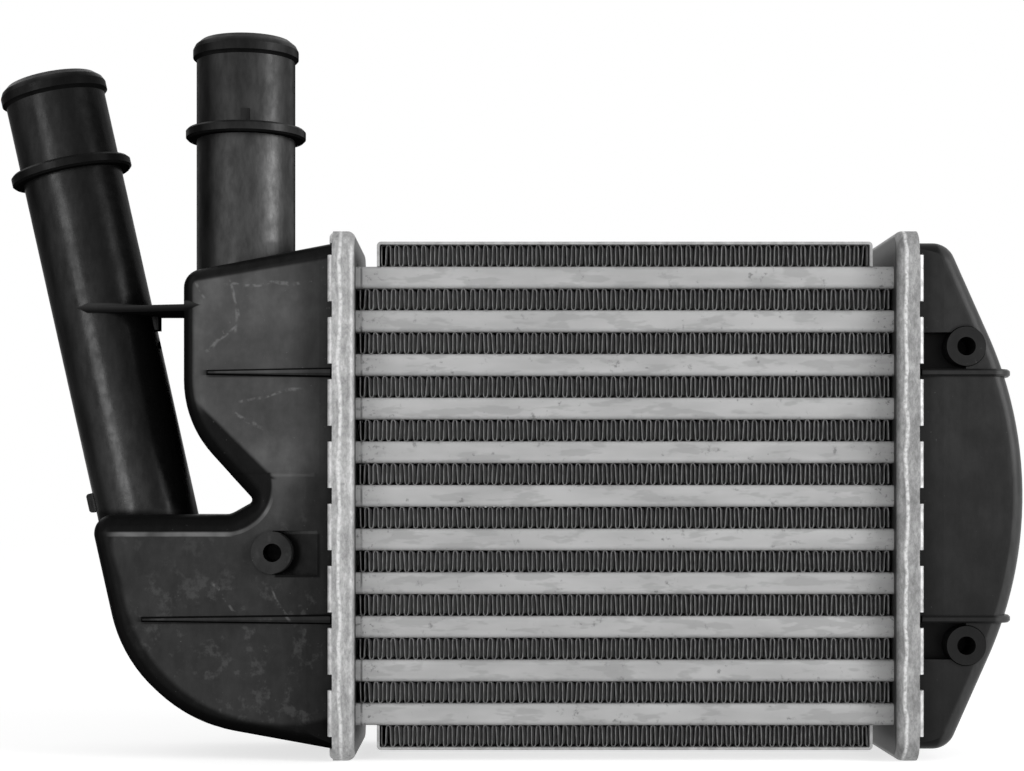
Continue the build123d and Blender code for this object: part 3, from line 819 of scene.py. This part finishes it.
def header_sheet(name, ridge, light_and_shade):
    """Drawn aluminium sheet: mottled, with a painted highlight along its ridge and on its tab
    bends, painted light and shade on the ridge's two slopes, and painted shade on its inner
    bend and on its faces towards the core.
    """
    material, shader = new_material(name, colour=0.5, roughness=0.5, metallic=0.4)
    tree = material.node_tree
    reach = size_of(tree, minus(tree, axes(tree)[0], CORE_X))
    grain = noise(tree, 1.1 * MM, 4.0, 0.75, (1.0, 1.0, 0.5))
    # Painted light and shade on the two slopes of the ridge, over grain and mottle.
    tone = times(
        tree,
        ramp(tree, reach, ridge - RIDGE_WAVER, ridge + RIDGE_WAVER, *light_and_shade),
        # Painted shade on the inner bend.
        ramp(tree, reach, HEADER_INSIDE, HEADER_INSIDE + 2.6 * MM, 0.82, 1.0),
        ramp(tree, grain, 0.25, 0.75, 0.72, 1.28),
        mottle(tree, 0.76, 1.24, 5 * MM, 4.0, 0.65, (1.0, 1.0, 0.5)),
    )
    # Painted highlight along the ridge, wavering and broken up.
    waver = mottle(tree, ridge - RIDGE_WAVER, ridge + RIDGE_WAVER, 20 * MM, 2.0)
    ridge_highlight = band(tree, reach, waver, 0.15 * MM, 0.85 * MM)
    ridge_highlight = times(tree, ridge_highlight, ramp(tree, noise(tree, 1.6 * MM), 0.3, 0.62, 0.25, 1.0))
    # Painted highlight on the tab bends, broken up.
    bend_highlight = ramp(tree, reach, TAB_BEND, TAB_BEND + 1.0 * MM)
    bend_highlight = times(tree, bend_highlight, ramp(tree, noise(tree, 3 * MM), 0.3, 0.65, 0.1, 0.75))
    stains = ramp(tree, noise(tree, 3 * MM, 4.0, 0.7), 0.62, 0.72, 0.0, 0.45)
    colour = blend_greys(tree, stains, tone, 0.16)
    colour = blend_greys(tree, largest(tree, ridge_highlight, bend_highlight), colour, 0.7)
    # Painted shade on the faces towards the core.
    core_side_shade = ramp(tree, size_of(tree, facing(tree)[0]), 0.9, 0.99)
    colour = blend_greys(tree, core_side_shade, colour, 0.03)
    tree.links.new(colour, shader.inputs["Base Color"])
    height = total(tree, times(tree, ridge_highlight, 1.5), grain)
    bump(tree, shader, height, 0.3, 0.25 * MM)
    return material


def tube_sheet():
    """Dull brazed aluminium, cloudy, with stains and a scribe mark near its left end, and
    darker towards both ends.
    """
    material, shader = new_material("tube_sheet", colour=0.42, roughness=0.6, metallic=0.15)
    tree = material.node_tree
    reach = minus(tree, axes(tree)[0], CORE_X)
    from_middle = size_of(tree, reach)
    tone = times(
        tree,
        mottle(tree, 0.4, 0.49, 16 * MM, 3.0, 0.55, (0.45, 1.0, 1.6)),
        ramp(tree, from_middle, 84 * MM, 98 * MM, 1.0, 0.8),
    )
    film = ramp(tree, noise(tree, 6 * MM, 3.0, 0.6, (0.35, 1.0, 1.3)), 0.52, 0.6)
    colour = blend_greys(tree, times(tree, film, 0.5), tone, 0.3)
    stains = ramp(tree, noise(tree, 4.2 * MM, 4.0, 0.7), 0.61, 0.73, 0.0, 0.75)
    mark = band(tree, reach, -SCRIBE_MARK, 0.2 * MM, 0.35 * MM)
    mark = times(tree, mark, ramp(tree, noise(tree, 5 * MM), 0.4, 0.55, 0.3, 1.0))
    # Darker in blotches towards both ends.
    end_darkening = times(
        tree,
        ramp(tree, from_middle, 88 * MM, 97 * MM),
        ramp(tree, noise(tree, 2.2 * MM, 3.0, 0.7), 0.55, 0.68, 0.0, 0.8),
    )
    colour = blend_greys(tree, largest(tree, stains, mark, end_darkening), colour, 0.13)
    tree.links.new(colour, shader.inputs["Base Color"])
    bump(tree, shader, noise(tree, 2.5 * MM), 0.1, 0.15 * MM)
    return material


def fin_sheet(half_depth):
    """Thin folded aluminium, worn along its cut edges, with painted shade darkening it down
    the gaps.
    """
    material, shader = new_material("fin_sheet", colour=0.3, roughness=0.6, metallic=0.1)
    tree = material.node_tree
    depth = size_of(tree, axes(tree)[1])
    edge = ramp(tree, depth, half_depth - 0.5 * MM, half_depth - 0.05 * MM)
    # Painted shade: darker with depth down the gaps.
    gap_shade = ramp(tree, depth, half_depth - 10 * MM, half_depth - 3 * MM, 0.05, 0.28)
    worn = ramp(tree, noise(tree, 3 * MM), 0.35, 0.65, 0.09, 0.22)
    tree.links.new(blend_greys(tree, edge, gap_shade, worn), shader.inputs["Base Color"])
    return material


def plain_sheet():
    """Dull aluminium of the side plates and turbulators."""
    material, shader = new_material("plain_sheet", colour=0.4, roughness=0.55, metallic=0.3)
    tree = material.node_tree
    tone = mottle(tree, 0.32, 0.46, 4 * MM, 3.0, 0.6)
    tree.links.new(tone, shader.inputs["Base Color"])
    return material


def rubber():
    """Matt black rubber of the gaskets, a little uneven."""
    material, shader = new_material("gasket_rubber", colour=0.02, roughness=0.75)
    shader.inputs["Specular IOR Level"].default_value = 0.2
    tree = material.node_tree
    tree.links.new(mottle(tree, 0.015, 0.025, 2 * MM), shader.inputs["Base Color"])
    return material


def paint(node, material):
    """Gives a CAD node its material."""
    if not node.material_slots:
        node.data.materials.append(material)
    for material_slot in node.material_slots:
        material_slot.material = material


def fold_line(width, height, chance):
    """Points across a row of folds, as (x, z, share of the wave), left to right."""
    folds = round(width / FIN_PERIOD)
    step = width / folds / 2
    half = (height - FIN_SHEET) / 2
    points = [(-width / 2, half * END_HEIGHT, 0.0)]
    for index in range(2 * folds):
        side = half if index % 2 else -half
        middle = (index + 0.5) * step - width / 2 + chance.uniform(-FIN_JITTER, FIN_JITTER)
        lean = chance.uniform(-FIN_LEAN, FIN_LEAN)
        for across, up, sway in CREST:
            x = middle + across * step + lean * (1 - up)
            x = min(max(x, -width / 2), width / 2)
            points.append((x, side * up, sway))
    points.append((width / 2, -half * END_HEIGHT, 0.0))
    return points


def sideways(points):
    """Unit normals of a fold line, averaged at its points."""
    normals = []
    for index in range(len(points)):
        x1, z1 = points[max(index - 1, 0)][:2]
        x2, z2 = points[min(index + 1, len(points) - 1)][:2]
        length = ((x2 - x1) ** 2 + (z2 - z1) ** 2) ** 0.5
        normals.append(((z1 - z2) / length, (x2 - x1) / length))
    return normals


def depth_stations(half_depth):
    """Depths of a fin's cross-sections, front to back, each with its sideways shift."""
    front = [(depth * MM - half_depth, share * FIN_WAVE) for depth, share in FIN_BENDS]
    back = [(-y, shift) for y, shift in reversed(front)]
    return front + back


def fin_section(points, half_width, shift, crests_wave):
    """A fin's cross-section, as (x, z): one side of the sheet, then the other."""
    corners = []
    normals = sideways(points)
    for offset in (-FIN_SHEET / 2, FIN_SHEET / 2):
        for (x, z, sway), (right, up) in zip(points, normals):
            calm = min((half_width - abs(x)) / FIN_CALM, 1.0)
            carried = shift * calm * (1.0 if crests_wave else sway)
            corners.append((x + carried + right * offset, z + up * offset))
    return corners


def join_sections(mesh, rings):
    """Faces of a fin: its sheet from front to back, and its two cut edges."""
    count = len(rings[0]) // 2
    for front, back in zip(rings, rings[1:]):
        for index in range(count - 1):
            upper = index + count
            mesh.faces.new((front[index + 1], front[index], back[index], back[index + 1]))
            mesh.faces.new((front[upper], front[upper + 1], back[upper + 1], back[upper]))
        for index in (0, count - 1):
            upper = index + count
            mesh.faces.new((front[index], front[upper], back[upper], back[index]))
    for ring in (rings[0], rings[-1]):
        for index in range(count - 1):
            upper = index + count
            mesh.faces.new((ring[index], ring[index + 1], ring[upper + 1], ring[upper]))
    bmesh.ops.recalc_face_normals(mesh, faces=mesh.faces)


def folded_fin(name, low, high, chance):
    """Fine folded fin that fills the box of a CAD fin row."""
    centre = [(low[axis] + high[axis]) / 2 for axis in range(3)]
    width = high[0] - low[0] - FIN_SHEET
    half_depth = (high[1] - low[1]) / 2
    points = fold_line(width, high[2] - low[2], chance)
    mesh = bmesh.new()
    rings = []
    for y, shift in depth_stations(half_depth):
        section = fin_section(points, width / 2, shift, abs(y) < half_depth - CREST_DEPTH)
        corners = [(centre[0] + x, centre[1] + y, centre[2] + z) for x, z in section]
        rings.append([mesh.verts.new(corner) for corner in corners])
    join_sections(mesh, rings)
    data = bpy.data.meshes.new(name)
    mesh.to_mesh(data)
    mesh.free()
    piece = bpy.data.objects.new(name, data)
    bpy.context.scene.collection.objects.link(piece)
    return piece


def dress_fins():
    """Replaces each plain CAD fin row by a fine one in the same box."""
    chance = random.Random(FIN_SEED)
    names = sorted(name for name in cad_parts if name.startswith("fin_row_"))
    low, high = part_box(names[0])
    material = fin_sheet((high[1] - low[1]) / 2)
    for name in names:
        low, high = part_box(name)
        piece = folded_fin(name.replace("fin_row", "fine_fins"), low, high, chance)
        piece.data.materials.append(material)
        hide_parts(name)
        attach(piece, "root")


def dress_nodes():
    """Materials of the CAD nodes, by the start of their names."""
    looks = {
        "stub_tank": stub_tank_plastic(),
        "return_tank": return_tank_plastic(),
        "header_plate_left": header_sheet("header_sheet_left", LEFT_RIDGE_HIGHLIGHT, LEFT_HEADER_LIGHT_AND_SHADE),
        "header_plate_right": header_sheet("header_sheet_right", RIGHT_RIDGE_HIGHLIGHT, RIGHT_HEADER_LIGHT_AND_SHADE),
        "tube": tube_sheet(),
        "turbulator": plain_sheet(),
        "side_plate": plain_sheet(),
        "gasket": rubber(),
    }
    for name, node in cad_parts.items():
        for start, material in looks.items():
            if name.startswith(start):
                paint(node, material)


def lamp(name, place_at, size, power):
    data = bpy.data.lights.new(name, "AREA")
    data.shape = "DISK"
    data.size = size
    data.energy = power
    thing = bpy.data.objects.new(name, data)
    thing.location = place_at
    towards = Vector(AIM) - Vector(place_at)
    thing.rotation_euler = towards.to_track_quat("-Z", "Y").to_euler()
    bpy.context.scene.collection.objects.link(thing)


def is_seen(tree):
    """1 for what is seen directly, mirrored or through glass, 0 as a source of light."""
    path = tree.nodes.new("ShaderNodeLightPath")
    rays = ("Is Camera Ray", "Is Glossy Ray", "Is Transmission Ray")
    return largest(tree, *(path.outputs[ray] for ray in rays))


def floor():
    """Pale floor under the part that shows white and keeps its shadow."""
    material, shader = new_material("floor", colour=FLOOR_GREY, roughness=0.9)
    shader.inputs["Specular IOR Level"].default_value = 0.0
    tree = material.node_tree
    tree.links.new(times(tree, is_seen(tree), FLOOR_GLOW), shader.inputs["Emission Strength"])
    shader.inputs["Emission Color"].default_value = WHITE
    bpy.ops.mesh.primitive_plane_add(size=FLOOR_SIZE)
    plane = bpy.context.object
    plane.name = "floor"
    plane.data.materials.append(material)


def room():
    """White for what is seen directly or mirrored, softer as a source of light."""
    world = bpy.data.worlds.new("room")
    world.use_nodes = True
    bpy.context.scene.world = world
    tree = world.node_tree
    background = tree.nodes["Background"]
    background.inputs["Color"].default_value = WHITE
    strength = ramp(tree, is_seen(tree), 0.0, 1.0, ROOM_GREY, 1.0)
    tree.links.new(strength, background.inputs["Strength"])


def camera():
    data = bpy.data.cameras.new("camera")
    data.lens = CAMERA_LENS
    data.shift_x = CAMERA_SHIFT_X
    data.shift_y = CAMERA_SHIFT_Y
    thing = bpy.data.objects.new("camera", data)
    thing.location = (CAMERA_X, CAMERA_Y, CAMERA_Z)
    thing.rotation_euler = (radians(90), 0.0, 0.0)
    bpy.context.scene.collection.objects.link(thing)
    bpy.context.scene.camera = thing


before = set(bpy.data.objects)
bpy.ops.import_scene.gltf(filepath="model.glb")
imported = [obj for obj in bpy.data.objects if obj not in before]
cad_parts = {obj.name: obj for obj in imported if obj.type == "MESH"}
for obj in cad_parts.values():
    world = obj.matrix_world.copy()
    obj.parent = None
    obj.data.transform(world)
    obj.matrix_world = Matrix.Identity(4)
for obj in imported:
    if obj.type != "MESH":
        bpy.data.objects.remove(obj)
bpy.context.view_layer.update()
dress_nodes()
dress_fins()
floor()
room()
lamp("right_box", RIGHT_LAMP, RIGHT_SIZE, RIGHT_POWER)
lamp("left_box", LEFT_LAMP, LEFT_SIZE, LEFT_POWER)
camera()
bpy.context.scene.view_settings.view_transform = "Standard"
